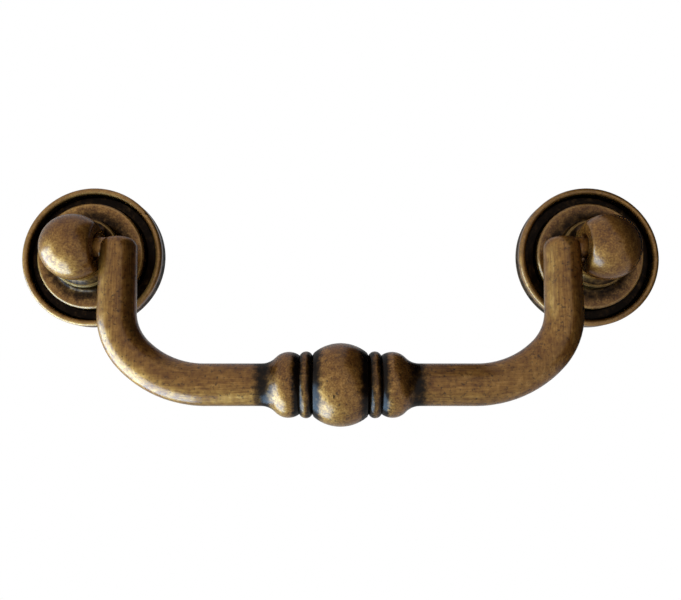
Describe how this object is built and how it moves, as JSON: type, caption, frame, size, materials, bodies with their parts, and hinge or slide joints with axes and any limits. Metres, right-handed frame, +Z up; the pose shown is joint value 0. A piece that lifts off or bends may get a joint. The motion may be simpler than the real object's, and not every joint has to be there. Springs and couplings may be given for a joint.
{
  "type": "drawer pull",
  "caption": "Swinging bail drawer pull in antique brass: a round bar with a turned knop hangs by its end pins from ball-headed posts with stepped round rosettes.",
  "frame": {"origin": "midway between the two screw holes, in the plane of the drawer front", "axes": "+X along the pull, +Y into the drawer front along the screws, +Z up, with the bail hanging down"},
  "size_m": [0.123, 0.0202, 0.0454],
  "materials": {
    "antique_brass": "cast brass, darkened and rubbed bright on its crests"
  },
  "bodies": {
    "posts": {"left_post": "antique_brass", "right_post": "antique_brass"},
    "bail": {"bail": "antique_brass"}
  },
  "joints": [
    {"name": "bail_swing", "type": "hinge", "parent": "posts", "child": "bail", "pos_m": [0, -0.0129, 0], "axis": [-1, 0, 0], "range_deg": [-13, 193]}
  ]
}
